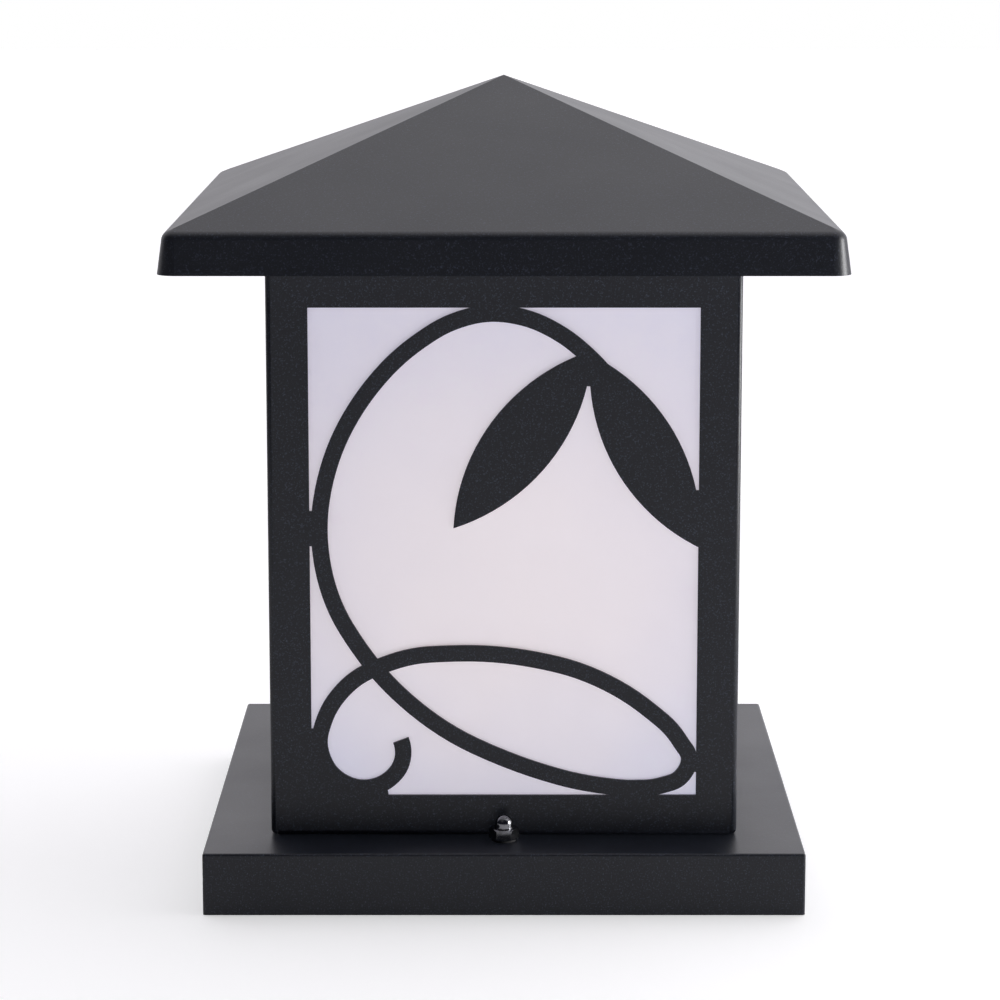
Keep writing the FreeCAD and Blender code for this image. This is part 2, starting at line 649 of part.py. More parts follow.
def sealing_washer(y):
    """Thin bonded washer that stays on its nut."""
    ring = cylinder(WASHER_RADIUS, BASE_HEIGHT, NUT_BOTTOM, 0, y)
    return ring.cut(cylinder(STUD_RADIUS + 2 * RUN, BASE_HEIGHT - PAST, NUT_BOTTOM + PAST, 0, y))


# ================================================================ what stays on the post
def mounting_strap():
    """Hat-shaped strap: slotted flat on the post, ends raised under the pan."""
    mid = STRAP_SHEET / 2
    leg, end = STRAP_FLAT / 2, STRAP_LENGTH / 2
    high = STRAP_TOP - mid
    corners = [(-end, high), (-leg, high), (-leg, mid), (leg, mid), (leg, high), (end, high)]
    strap = bent_profile(corners, STRAP_SHEET, STRAP_BEND, lambda u, v: V(-STRAP_WIDTH / 2, u, v))
    strap = strap.extrude(V(STRAP_WIDTH, 0, 0))
    cuts = [cylinder(GROMMET_RADIUS + RUN, -PAST, STRAP_SHEET + PAST)]
    for side in (1, -1):
        cuts.append(post_slot(side * POST_SLOT_SPACING / 2))
        cuts.append(cylinder(STUD_RADIUS + RUN, STRAP_UNDER - PAST, STRAP_TOP + PAST, 0, side * STUD_Y))
        cuts.append(cylinder(M4[0] + RUN, -PAST, STRAP_SHEET + PAST, 0, side * bracket_screw_y()))
    cuts += [countersunk(RUN, x) for x in block_screw_places()]
    hole = Part.makeCylinder(M4[0] + RUN, 2 * STRAP_SHEET, V(0, -leg - STRAP_SHEET, EARTH_Z),
                             V(0, 1, 0))
    return strap.cut(cuts + [hole])


def post_slot(y):
    """The cutter of one slot for a screw into the post, long along Y."""
    radius = POST_SLOT_WIDTH / 2
    offset = POST_SLOT_LENGTH / 2 - radius
    shape = block(POST_SLOT_WIDTH, 2 * offset, -PAST, STRAP_SHEET + PAST, 0, y)
    ends = [cylinder(radius, -PAST, STRAP_SHEET + PAST, 0, y + s * offset) for s in (1, -1)]
    return shape.fuse(ends)


def cover_studs():
    """Two studs, pressed into the strap's ends from below."""
    studs = []
    for y in (STUD_Y, -STUD_Y):
        shank = cylinder(STUD_RADIUS, STRAP_UNDER, STUD_TOP, 0, y)
        top = [e for e in shank.Edges if e.BoundBox.ZMin > STUD_TOP - RUN]
        shank = shank.makeChamfer(STUD_CHAMFER, top)
        head = cylinder(STUD_HEAD_RADIUS, STRAP_UNDER - STUD_HEAD_HEIGHT, STRAP_UNDER, 0, y)
        studs.append(shank.fuse(head).removeSplitter())
    return group(studs)


def bracket_screw_y():
    """Distance of the bracket's screws from the centre."""
    return BRACKET_SPAN / 2 + BRACKET_SHEET / 2 + BRACKET_FOOT / 2


def lampholder_bracket():
    """Bridge over the cable entry that carries the lampholder."""
    mid = STRAP_SHEET + BRACKET_SHEET / 2
    high = BRACKET_TOP - BRACKET_SHEET / 2
    leg = BRACKET_SPAN / 2
    end = leg + BRACKET_SHEET / 2 + BRACKET_FOOT
    corners = [(-end, mid), (-leg, mid), (-leg, high), (leg, high), (leg, mid), (end, mid)]
    bridge = bent_profile(corners, BRACKET_SHEET, BRACKET_BEND,
                          lambda u, v: V(-BRACKET_WIDTH / 2, u, v))
    bridge = bridge.extrude(V(BRACKET_WIDTH, 0, 0))
    cuts = [cylinder(M4[0] + HOLE_GAP, 0, mid + 2 * PAST, 0, s * bracket_screw_y()) for s in (1, -1)]
    cuts += [cylinder(M35[0] + HOLE_GAP, high - 2 * PAST, BRACKET_TOP + PAST, s * HOLDER_SCREW_X)
             for s in (1, -1)]
    return bridge.cut(cuts)


def bracket_screws():
    """Two screws down through the bracket's feet into the strap."""
    seat = STRAP_SHEET + BRACKET_SHEET
    return group([machine_screw(M4, SLIP, seat, 0, s * bracket_screw_y()) for s in (1, -1)])


def lampholder_body():
    """Ceramic lampholder: broad base, round barrel, cavity for the bulb's cap."""
    base_top = BRACKET_TOP + HOLDER_BASE_HEIGHT
    step = HOLDER_BASE_RADIUS - HOLDER_RADIUS
    body = turned([(0, BRACKET_TOP), (HOLDER_BASE_RADIUS, BRACKET_TOP),
                   (HOLDER_BASE_RADIUS, base_top), (HOLDER_RADIUS, base_top + step),
                   (HOLDER_RADIUS, HOLDER_TOP), (CAVITY_RADIUS, HOLDER_TOP),
                   (CAVITY_RADIUS, HOLDER_CAVITY_FLOOR), (0, HOLDER_CAVITY_FLOOR)])
    rim = [e for e in body.Edges if isinstance(e.Curve, Part.Circle)
           and abs(e.BoundBox.ZMin - HOLDER_TOP) < NEGLIGIBLE and e.Curve.Radius > CAVITY_RADIUS + RUN]
    body = body.makeFillet(HOLDER_RIM, rim)
    cuts = [cylinder(M35[0] + HOLE_GAP, BRACKET_TOP - PAST, HOLDER_CAVITY_FLOOR + PAST,
                     s * HOLDER_SCREW_X) for s in (1, -1)]
    for side in (1, -1):
        depth = TERMINAL_DEPTH + M35[2] + 2 * SLIP
        cuts.append(block(TERMINAL_WIDTH + 2 * SLIP, 2 * depth, terminal_bottom(),
                          terminal_bottom() + TERMINAL_HEIGHT + SLIP, 0, side * HOLDER_BASE_RADIUS))
    return body.cut(cuts)


def terminal_bottom():
    """Height of the floor under a holder terminal."""
    return BRACKET_TOP + TERMINAL_FLOOR


def terminal_back():
    """Distance of a holder terminal's inner face from the axis."""
    return HOLDER_BASE_RADIUS - TERMINAL_DEPTH - M35[2] - SLIP


def holder_terminals():
    """Two brass blocks in the ceramic base."""
    blocks = []
    middle = terminal_back() + TERMINAL_DEPTH / 2
    height = terminal_bottom() + TERMINAL_HEIGHT / 2
    for side in (1, -1):
        piece = block(TERMINAL_WIDTH, TERMINAL_DEPTH, terminal_bottom(),
                      terminal_bottom() + TERMINAL_HEIGHT, 0, side * middle)
        bore = Part.makeCylinder(M35[0] + RUN, TERMINAL_DEPTH + 2 * PAST,
                                 V(0, side * (terminal_back() - PAST), height), V(0, side, 0))
        blocks.append(piece.cut(bore))
    return group(blocks)


def holder_terminal_screws():
    """Their screws, entered from the side."""
    front = terminal_back() + TERMINAL_DEPTH
    height = terminal_bottom() + TERMINAL_HEIGHT / 2
    screw = machine_screw(M35, SLIP - TERMINAL_DEPTH, 0)
    screw.rotate(V(0, 0, 0), V(1, 0, 0), 90)
    screw.translate(V(0, -front, height))
    return group([screw, quarter_turned(screw, 2)])


def holder_sleeve():
    """Screw shell of the lampholder, standing on the cavity's floor."""
    top = HOLDER_TOP - SLEEVE_DROP
    return cylinder(SLEEVE_RADIUS, HOLDER_CAVITY_FLOOR, top).cut(
        cylinder(SLEEVE_BORE, HOLDER_CAVITY_FLOOR - PAST, top + PAST))


def centre_contact():
    """Sprung tongue that the bulb's tip presses on."""
    mid = HOLDER_CAVITY_FLOOR + CONTACT_SHEET / 2
    top = HOLDER_CAVITY_FLOOR + CONTACT_RISE - CONTACT_SHEET / 2
    corners = [(CONTACT_FOOT[0], mid), (CONTACT_FOOT[1], mid), (CONTACT_TIP[1], top),
               (CONTACT_TIP[0], top)]
    tongue = bent_profile(corners, CONTACT_SHEET, CONTACT_SHEET,
                          lambda u, v: V(-CONTACT_WIDTH / 2, u, v))
    return tongue.extrude(V(CONTACT_WIDTH, 0, 0))


def holder_screws():
    """Two screws down through the ceramic and the bracket."""
    tip = BRACKET_TOP - BRACKET_SHEET - M35[4] - THREAD_OUT
    return group([machine_screw(M35, tip, HOLDER_CAVITY_FLOOR, s * HOLDER_SCREW_X) for s in (1, -1)])


def holder_nuts():
    """Their nuts, under the bracket."""
    bottom = BRACKET_TOP - BRACKET_SHEET - M35[4]
    return group([nut(M35, bottom, s * HOLDER_SCREW_X) for s in (1, -1)])


def way_places():
    """The three ways of the terminal block, across the strap."""
    return [k * WAY_PITCH for k in (-1, 0, 1)]


def block_screw_places():
    """The block's screws, between its ways."""
    return [-WAY_PITCH / 2, WAY_PITCH / 2]


def countersunk(gap, x, length=STRAP_SHEET):
    """A countersunk screw's form, head flush with the strap's upper face."""
    head = M3[1] + gap
    shank = M3[0] + gap
    neck = STRAP_TOP - (M3[1] - M3[0])
    return turned([(0, STRAP_TOP), (head, STRAP_TOP), (shank, neck), (shank, STRAP_TOP - length),
                   (0, STRAP_TOP - length)], x, BLOCK_Y)


def terminal_block():
    """Three-way block under the raised back end of the strap."""
    bottom = STRAP_UNDER - BLOCK_HEIGHT
    body = block(BLOCK_LENGTH, BLOCK_WIDTH, bottom, STRAP_UNDER, 0, BLOCK_Y)
    edges = [e for e in body.Edges if abs(e.tangentAt(e.FirstParameter).y) < 0.1
             and e.BoundBox.ZMin < STRAP_UNDER - BLOCK_EDGE]
    body = body.makeFillet(BLOCK_EDGE, edges)
    cuts = []
    for x in way_places():
        cuts.append(Part.makeCylinder(INSERT_RADIUS + SLIP / 2, 2 * BLOCK_WIDTH,
                                      V(x, BLOCK_Y - BLOCK_WIDTH, WAY_Z), V(0, 1, 0)))
        for y in clamp_places():
            cuts.append(cylinder(CLAMP_RADIUS + SLIP / 2, bottom - PAST, WAY_Z, x, y))
    cuts += [countersunk(RUN, x, STRAP_SHEET + BLOCK_SCREW_REACH) for x in block_screw_places()]
    return body.cut(cuts)


def clamp_places():
    """The two clamp screws of each way."""
    return [BLOCK_Y - CLAMP_SPACING / 2, BLOCK_Y + CLAMP_SPACING / 2]


def terminal_inserts():
    """Brass tubes in the ways, each with two threaded holes underneath."""
    length = BLOCK_WIDTH - 2 * SLIP
    tubes = []
    for x in way_places():
        start = V(x, BLOCK_Y - length / 2, WAY_Z)
        tube = Part.makeCylinder(INSERT_RADIUS, length, start, V(0, 1, 0))
        cuts = [Part.makeCylinder(INSERT_BORE, length, start, V(0, 1, 0))]
        cuts += [cylinder(CLAMP_RADIUS - SLIP / 2, WAY_Z - BLOCK_HEIGHT, WAY_Z, x, y)
                 for y in clamp_places()]
        tubes.append(tube.cut(cuts))
    return group(tubes)


def terminal_clamp_screws():
    """Six clamp screws, entered from below."""
    bottom = STRAP_UNDER - BLOCK_HEIGHT + SLIP
    top = WAY_Z - INSERT_RADIUS - RUN
    screws = []
    for x in way_places():
        for y in clamp_places():
            screw = cylinder(CLAMP_RADIUS, bottom, top, x, y)
            screws.append(screw.cut(block(3 * CLAMP_RADIUS, SLOT_WIDTH, bottom - PAST,
                                          bottom + SLOT_DEPTH, x, y)))
    return group(screws)


def terminal_block_screws():
    """Two countersunk screws down through the strap into the block."""
    length = STRAP_SHEET + BLOCK_SCREW_REACH - SLIP
    return group([countersunk(0.0, x, length) for x in block_screw_places()])


def earth_screw():
    """Earthing screw in the strap's front leg, head towards the middle."""
    seat = STRAP_FLAT / 2 - STRAP_SHEET / 2 - EARTH_WASHER
    screw = machine_screw(M4, -EARTH_LENGTH, 0)
    screw.rotate(V(0, 0, 0), V(1, 0, 0), -90)
    screw.translate(V(0, -seat, EARTH_Z))
    return screw


def earth_washer():
    """Cup washer that would hold the earth lead."""
    seat = STRAP_FLAT / 2 - STRAP_SHEET / 2
    ring = Part.makeCylinder(M4[1], EARTH_WASHER, V(0, -seat, EARTH_Z), V(0, 1, 0))
    return ring.cut(Part.makeCylinder(M4[0] + HOLE_GAP, EARTH_WASHER, V(0, -seat, EARTH_Z), V(0, 1, 0)))


def cable_grommet():
    """Push-in bush for the supply cable, flush with the post under the strap."""
    lip = GROMMET_RADIUS + GROMMET_LIP
    top = STRAP_SHEET + GROMMET_LIP_HEIGHT
    return turned([(GROMMET_BORE, 0), (GROMMET_RADIUS, 0), (GROMMET_RADIUS, STRAP_SHEET),
                   (lip, STRAP_SHEET), (lip - GROMMET_EDGE, top),
                   (GROMMET_BORE + GROMMET_EDGE, top), (GROMMET_BORE, top - GROMMET_EDGE)])


# ================================================================ the bulb
def bulb_tip():
    """Centre contact: a button on a short pin in the insulator."""
    top = TIP_BOTTOM + TIP_HEIGHT
    return turned([(0, TIP_BOTTOM), (TIP_RADIUS - TIP_EDGE, TIP_BOTTOM),
                   (TIP_RADIUS, TIP_BOTTOM + TIP_EDGE), (TIP_RADIUS, top),
                   (TIP_PIN_RADIUS, top), (TIP_PIN_RADIUS, top + INSULATOR_HEIGHT),
                   (0, top + INSULATOR_HEIGHT)])


def bulb_insulator():
    """Dark insulating ring between the contact and the screw cap."""
    bottom = TIP_BOTTOM + TIP_HEIGHT + RUN
    top = bottom + INSULATOR_HEIGHT
    return turned([(TIP_PIN_RADIUS + RUN, bottom), (TIP_RADIUS, bottom), (INSULATOR_RADIUS, top),
                   (TIP_PIN_RADIUS + RUN, top)])


def bulb_cap():
    """Screw cap of the bulb."""
    bottom = TIP_BOTTOM + TIP_HEIGHT + RUN + INSULATOR_HEIGHT
    top = bottom + BULB_CAP_HEIGHT
    taper = BULB_CAP_RADIUS - INSULATOR_RADIUS
    return turned([(0, bottom), (INSULATOR_RADIUS, bottom), (BULB_CAP_RADIUS, bottom + taper),
                   (BULB_CAP_RADIUS, top), (0, top)])


def bulb_glass():
    """Frosted globe on a tapering neck."""
    bottom = TIP_BOTTOM + TIP_HEIGHT + RUN + INSULATOR_HEIGHT + BULB_CAP_HEIGHT
    top = TIP_BOTTOM + BULB_HEIGHT
    centre = top - BULB_RADIUS
    taper = math.radians(BULB_TAPER)
    flank = V(BULB_RADIUS * math.cos(taper), 0, centre - BULB_RADIUS * math.sin(taper))
    neck_top = bottom + BULB_NECK_HEIGHT
    # the straight flank runs down to the neck radius; an arc of equal arms eases the corner
    corner = V(BULB_NECK_RADIUS, 0, flank.z - (flank.x - BULB_NECK_RADIUS) / math.tan(taper))
    arm = corner.z - neck_top
    upper = corner + V(math.sin(taper), 0, math.cos(taper)) * arm
    radius = arm / math.tan(taper / 2)
    bend_centre = V(BULB_NECK_RADIUS + radius, 0, neck_top)
    bend = bend_centre + (corner - bend_centre).normalize() * radius
    equator = V(BULB_RADIUS, 0, centre)
    edges = [Part.LineSegment(V(0, 0, bottom), V(BULB_NECK_RADIUS, 0, bottom)),
             Part.LineSegment(V(BULB_NECK_RADIUS, 0, bottom), V(BULB_NECK_RADIUS, 0, neck_top)),
             Part.Arc(V(BULB_NECK_RADIUS, 0, neck_top), bend, upper),
             Part.LineSegment(upper, flank), Part.Arc(flank, equator, V(0, 0, top)),
             Part.LineSegment(V(0, 0, top), V(0, 0, bottom))]
    wire = Part.Wire([e.toShape() for e in edges])
    return Part.Face(wire).revolve(V(0, 0, 0), UP, 360)


# ================================================================ build
def build():
    """Model every sub-part and write it out."""
    names = ("front", "right", "back", "left")
    corners = ("front_right", "back_right", "back_left", "front_left")
    panel, pane, angle = front_panel(), front_pane(), corner_angle()
    for k in range(4):
        save(quarter_turned(panel, k), names[k] + "_panel")
        save(quarter_turned(pane, k), names[k] + "_pane")
        save(quarter_turned(angle, k), "corner_angle_" + corners[k])
    for name, y in (("front", -STUD_Y), ("back", STUD_Y)):
        save(cap_nut(y), name + "_cap_nut")
        save(sealing_washer(y), name + "_washer")
    for maker in (base_pan, roof_cap, roof_soffit, roof_screws, roof_nuts, body_screws, body_nuts,
                  mounting_strap, cover_studs, lampholder_bracket, bracket_screws,
                  lampholder_body, holder_terminals, holder_terminal_screws, holder_sleeve,
                  centre_contact, holder_screws, holder_nuts, terminal_block, terminal_inserts,
                  terminal_clamp_screws, terminal_block_screws, earth_screw, earth_washer,
                  cable_grommet, bulb_tip, bulb_insulator, bulb_cap, bulb_glass):
        save(maker(), maker.__name__)


build()
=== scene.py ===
"""Looks of the deck post cap light: powder-coated lantern, lit opal panes, plated fittings.

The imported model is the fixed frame.  Lengths are metres, +Z is up and the front faces -Y.
"""
import json
import logging
import math
from dataclasses import dataclass
from enum import Enum
from typing import Any, ClassVar, Sequence, Union

import bmesh
import bpy
from mathutils import Matrix, Vector

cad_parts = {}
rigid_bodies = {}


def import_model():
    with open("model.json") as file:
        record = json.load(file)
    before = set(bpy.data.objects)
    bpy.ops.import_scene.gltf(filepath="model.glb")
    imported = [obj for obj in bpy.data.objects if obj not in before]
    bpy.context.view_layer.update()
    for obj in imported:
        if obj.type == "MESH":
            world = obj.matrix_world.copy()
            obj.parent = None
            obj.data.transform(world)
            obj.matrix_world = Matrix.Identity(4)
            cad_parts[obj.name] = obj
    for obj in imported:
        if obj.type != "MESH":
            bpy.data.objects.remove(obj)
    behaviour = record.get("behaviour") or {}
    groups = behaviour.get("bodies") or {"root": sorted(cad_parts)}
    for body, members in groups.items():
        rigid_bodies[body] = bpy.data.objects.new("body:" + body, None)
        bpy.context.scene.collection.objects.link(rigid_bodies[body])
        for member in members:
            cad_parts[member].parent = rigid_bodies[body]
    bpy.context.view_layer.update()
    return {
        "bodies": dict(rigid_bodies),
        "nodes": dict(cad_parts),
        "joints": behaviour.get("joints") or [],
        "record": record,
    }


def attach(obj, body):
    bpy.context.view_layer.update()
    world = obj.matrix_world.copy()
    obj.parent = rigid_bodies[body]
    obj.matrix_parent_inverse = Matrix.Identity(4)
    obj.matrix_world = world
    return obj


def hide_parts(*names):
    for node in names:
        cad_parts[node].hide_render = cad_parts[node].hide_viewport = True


logging.basicConfig(level=logging.INFO, format="%(message)s")
LOG = logging.getLogger("post_cap_light")

MM = 0.001
Number = Union[int, float]
Colour = tuple[float, float, float]
Corner = tuple[float, float]


# ------------------------------------------------------------------ small maths
def linear(red: int, green: int, blue: int) -> Colour:
    """Turn a colour as seen on screen, 0 to 255, into scene-linear values.

    Args:
        red: red as displayed.
        green: green as displayed.
        blue: blue as displayed.

    Returns:
        The three linear components.
    """
    def one(value: int) -> float:
        """One component."""
        share = value / 255
        return share / 12.92 if share <= 0.04045 else ((share + 0.055) / 1.055) ** 2.4

    return one(red), one(green), one(blue)


def rgba(colour: Colour) -> tuple[float, float, float, float]:
    """The colour with full opacity."""
    return (*colour, 1.0)


class Side(Enum):
    """The lantern's four sides, by the words that the frame's nodes start with."""

    FRONT = "front"
    RIGHT = "right"
    BACK = "back"
    LEFT = "left"


# ------------------------------------------------------------------ shader writing
class Signal:
    """A shader socket that can be used in Python expressions."""

    def __init__(self, graph: "Graph", socket: Any) -> None:
        """Wrap one output socket of a graph."""
        self.graph = graph
        self.socket = socket

    def _maths(self, operation: str, first: Any, second: Any = None) -> "Signal":
        """Add one Math node.

        Args:
            operation: the node's operation.
            first: its first value or signal.
            second: its second one, where it has one.

        Returns:
            The node's result.
        """
        values = {0: first} if second is None else {0: first, 1: second}
        return self.graph.node("ShaderNodeMath", {"operation": operation}, values)[0]

    def __add__(self, other: Any) -> "Signal":
        """Sum."""
        return self._maths("ADD", self, other)

    def __radd__(self, other: Any) -> "Signal":
        """Sum, reflected."""
        return self._maths("ADD", other, self)

    def __sub__(self, other: Any) -> "Signal":
        """Difference."""
        return self._maths("SUBTRACT", self, other)

    def __rsub__(self, other: Any) -> "Signal":
        """Difference, reflected."""
        return self._maths("SUBTRACT", other, self)

    def __mul__(self, other: Any) -> "Signal":
        """Product."""
        return self._maths("MULTIPLY", self, other)

    def __rmul__(self, other: Any) -> "Signal":
        """Product, reflected."""
        return self._maths("MULTIPLY", other, self)

    def __truediv__(self, other: Any) -> "Signal":
        """Quotient."""
        return self._maths("DIVIDE", self, other)

    def __rtruediv__(self, other: Any) -> "Signal":
        """Quotient, reflected."""
        return self._maths("DIVIDE", other, self)

    def __pow__(self, other: Any) -> "Signal":
        """Power."""
        return self._maths("POWER", self, other)

    def __abs__(self) -> "Signal":
        """Size without sign."""
        return self._maths("ABSOLUTE", self)

    def __neg__(self) -> "Signal":
        """Opposite."""
        return self._maths("MULTIPLY", self, -1.0)

    def above(self, limit: Number) -> "Signal":
        """1 where the signal is over the limit, otherwise 0."""
        return self._maths("GREATER_THAN", self, limit)

    def least(self, other: Any) -> "Signal":
        """The smaller of two."""
        return self._maths("MINIMUM", self, other)

    def most(self, other: Any) -> "Signal":
        """The larger of two."""
        return self._maths("MAXIMUM", self, other)

    def root(self) -> "Signal":
        """Square root."""
        return self._maths("SQRT", self)

    def wave(self) -> "Signal":
        """Sine."""
        return self._maths("SINE", self)

    def step(self, low: Number, high: Number) -> "Signal":
        """Smooth rise from 0 at low to 1 at high."""
        settings = {"interpolation_type": "SMOOTHSTEP"}
        values = {0: self, 1: low, 2: high, 3: 0.0, 4: 1.0}
        return self.graph.node("ShaderNodeMapRange", settings, values)[0]


class Graph:
    """A node tree that nodes of any type are written into."""

    def __init__(self, tree: bpy.types.NodeTree) -> None:
        """Start with an emptied tree."""
        self.tree = tree
        self.tree.nodes.clear()

    def node(self, kind: str, settings: dict[str, Any], values: dict[Any, Any]) -> list[Signal]:
        """Add any node.

        Args:
            kind: the node's type.
            settings: its properties, set first; "stops" fills a ramp.
            values: values or signals of its sockets, by index or name.

        Returns:
            A signal for each output.
        """
        made = self.tree.nodes.new(kind)
        for name, value in settings.items():
            if name == "stops":
                self._fill_ramp(made.color_ramp, value)
            else:
                setattr(made, name, value)
        for key, value in values.items():
            self.feed(made.inputs[key], value)
        return [Signal(self, socket) for socket in made.outputs]

    @staticmethod
    def _fill_ramp(ramp: Any, stops: Sequence[tuple[float, Colour]]) -> None:
        """Give a ramp its stops."""
        while len(ramp.elements) < len(stops):
            ramp.elements.new(1.0)
        for element, (position, colour) in zip(ramp.elements, stops):
            element.position = position
            element.color = rgba(colour)

    def feed(self, socket: Any, value: Any) -> None:
        """Link a signal to a socket, or set its value."""
        if isinstance(value, Signal):
            self.tree.links.new(value.socket, socket)
        elif isinstance(value, tuple) and len(value) == 3 and socket.type == "RGBA":
            socket.default_value = rgba(value)
        else:
            socket.default_value = value

    def place(self) -> Signal:
        """Position in the object's own space, in metres."""
        return self.node("ShaderNodeTexCoord", {}, {})[3]

    def parts(self, vector: Signal) -> list[Signal]:
        """The three components of a vector."""
        return self.node("ShaderNodeSeparateXYZ", {}, {0: vector})

    def noise(self, cell: float, detail: float = 2.0, rough: float = 0.5,
              stretch: Colour = (1.0, 1.0, 1.0)) -> Signal:
        """Noise of a real cell size.

        Args:
            cell: size of the largest blotches, metres.
            detail: octaves.
            rough: strength of the finer octaves.
            stretch: scale of the pattern along X, Y and Z.

        Returns:
            A value between 0 and 1, about 0.5 on average.
        """
        vector = self.node("ShaderNodeMapping", {}, {0: self.place(), 3: stretch})[0]
        values = {"Vector": vector, "Scale": 1 / cell, "Detail": detail, "Roughness": rough}
        return self.node("ShaderNodeTexNoise", {}, values)[0]

    def cells(self, cell: float) -> list[Signal]:
        """Cellular pattern of a real cell size: distance, then a colour for each cell."""
        values = {"Vector": self.place(), "Scale": 1 / cell}
        return self.node("ShaderNodeTexVoronoi", {}, values)

    def blend(self, share: Any, first: Any, second: Any) -> Signal:
        """Mix two colours.

        Args:
            share: 0 for the first, 1 for the second.
            first: the first colour.
            second: the second colour.

        Returns:
            The mixed colour.
        """
        values = {0: share, 6: first, 7: second}
        return self.node("ShaderNodeMix", {"data_type": "RGBA"}, values)[2]

    def relief(self, height: Signal, depth: float, strength: float = 1.0,
               under: Any = None) -> Signal:
        """A bump of a real depth.

        Args:
            height: the relief, 0 to 1.
            depth: its real depth, metres.
            strength: share of it that shows.
            under: another bump's normal that it lies on.

        Returns:
            The normal.
        """
        values = {"Strength": strength, "Distance": depth, "Height": height}
        if under is not None:
            values["Normal"] = under
        return self.node("ShaderNodeBump", {}, values)[0]


class Finish(Graph):
    """The node tree of one material, with its Principled shader."""

    def __init__(self, name: str) -> None:
        """Start a material that holds a Principled shader and its output."""
        self.material = bpy.data.materials.new(name)
        self.material.use_nodes = True
        super().__init__(self.material.node_tree)
        self.shader = self.tree.nodes.new("ShaderNodeBsdfPrincipled")
        output = self.tree.nodes.new("ShaderNodeOutputMaterial")
        self.tree.links.new(self.shader.outputs[0], output.inputs["Surface"])

    def surface(self, **values: Any) -> None:
        """Feed the Principled shader, with underscores for the spaces of its socket names."""
        for name, value in values.items():
            self.feed(self.shader.inputs[name.replace("_", " ")], value)


# ------------------------------------------------------------------ finishes
@dataclass(frozen=True)
class PowderCoat:
    """Charcoal powder coat: satin, with fine orange peel and grain."""

    name: str = "charcoal_powder_coat"
    colour: Colour = linear(18, 21, 29)
    grain_colour: Colour = linear(62, 68, 84)
    roughness: float = 0.40
    peel: float = 0.9 * MM
    peel_depth: float = 0.022 * MM
    grain: float = 0.62 * MM
    grain_depth: float = 0.020 * MM

    def make(self) -> bpy.types.Material:
        """Write the material."""
        graph = Finish(self.name)
        grain = graph.noise(self.grain, 3.0, 0.6)
        cloud = graph.noise(38 * MM, 3.0)
        fleck = grain.step(0.54, 0.70)
        base = graph.blend(fleck * 0.75, self.colour, self.grain_colour)
        peel = graph.relief(graph.noise(self.peel, 2.0), self.peel_depth, 0.8)
        graph.surface(Base_Color=base, Normal=graph.relief(grain, self.grain_depth, 0.8, peel),
                      Roughness=self.roughness + (cloud - 0.5) * 0.10 + (grain - 0.5) * 0.10,
                      IOR=1.5)
        return graph.material


@dataclass(frozen=True)
class LitOpal:
    """Opal acrylic lit by the lamp behind it: lavender white, warmer towards the lamp."""

    name: str = "lit_opal_acrylic"
    body: Colour = linear(226, 223, 232)
    edge_glow: Colour = linear(130, 127, 143)
    heart_glow: Colour = linear(170, 160, 158)
    foot_glow: Colour = linear(128, 132, 156)
    foot_low: float = 50 * MM
    foot_high: float = 125 * MM
    strength: float = 1.0
    lamp_height: float = 118 * MM
    near: float = 72 * MM
    far: float = 165 * MM

    def make(self) -> bpy.types.Material:
        """Write the material."""
        graph = Finish(self.name)
        across, along, up = graph.parts(graph.place())
        rise = up - self.lamp_height
        reach = (across * across + along * along + rise * rise).root()
        cloud = graph.noise(26 * MM, 2.0)
        share = (reach + (cloud - 0.5) * 0.02).step(self.near, self.far)
        rim = graph.blend(up.step(self.foot_low, self.foot_high), self.foot_glow, self.edge_glow)
        glow = graph.blend(share, self.heart_glow, rim)
        skin = graph.relief(graph.noise(0.5 * MM, 2.0), 0.004 * MM, 0.6)
        graph.surface(Base_Color=graph.blend(graph.noise(9 * MM) * 0.15, self.body, self.edge_glow),
                      Roughness=0.34 + (cloud - 0.5) * 0.08, IOR=1.49, Normal=skin,
                      Emission_Color=glow, Emission_Strength=self.strength)
        return graph.material


@dataclass(frozen=True)
class ZincSheet:
    """Zinc-plated sheet: grey spangles, rolling marks and dull patches."""

    name: str = "zinc_plated_sheet"
    colour: Colour = (0.50, 0.52, 0.54)
    dull: Colour = (0.36, 0.37, 0.385)

    def make(self) -> bpy.types.Material:
        """Write the material."""
        graph = Finish(self.name)
        spangle = graph.parts(graph.cells(4.2 * MM)[1])[0]
        rolled = graph.noise(0.5 * MM, 2.0, 0.5, (1.0, 0.06, 0.5))
        patch = graph.noise(17 * MM, 3.0)
        base = graph.blend(spangle * 0.45 + patch.step(0.5, 0.75) * 0.4, self.colour, self.dull)
        graph.surface(Base_Color=base, Metallic=1.0,
                      Roughness=0.34 + spangle * 0.12 + (rolled - 0.5) * 0.12,
                      Normal=graph.relief(rolled, 0.004 * MM, 0.7))
        return graph.material


@dataclass(frozen=True)
class Plated:
    """A bright or black plated fastener with fine turning marks and dulled patches."""

    name: str
    colour: Colour
    worn: Colour
    roughness: float

    def make(self) -> bpy.types.Material:
        """Write the material."""
        graph = Finish(self.name)
        turning = graph.noise(0.22 * MM, 2.0, 0.5, (0.3, 0.3, 2.2))
        patch = graph.noise(2.6 * MM, 3.0).step(0.48, 0.70)
        graph.surface(Base_Color=graph.blend(patch * 0.6, self.colour, self.worn), Metallic=1.0,
                      Roughness=self.roughness + patch * 0.10 + (turning - 0.5) * 0.08,
                      Normal=graph.relief(turning, 0.003 * MM, 0.6))
        return graph.material


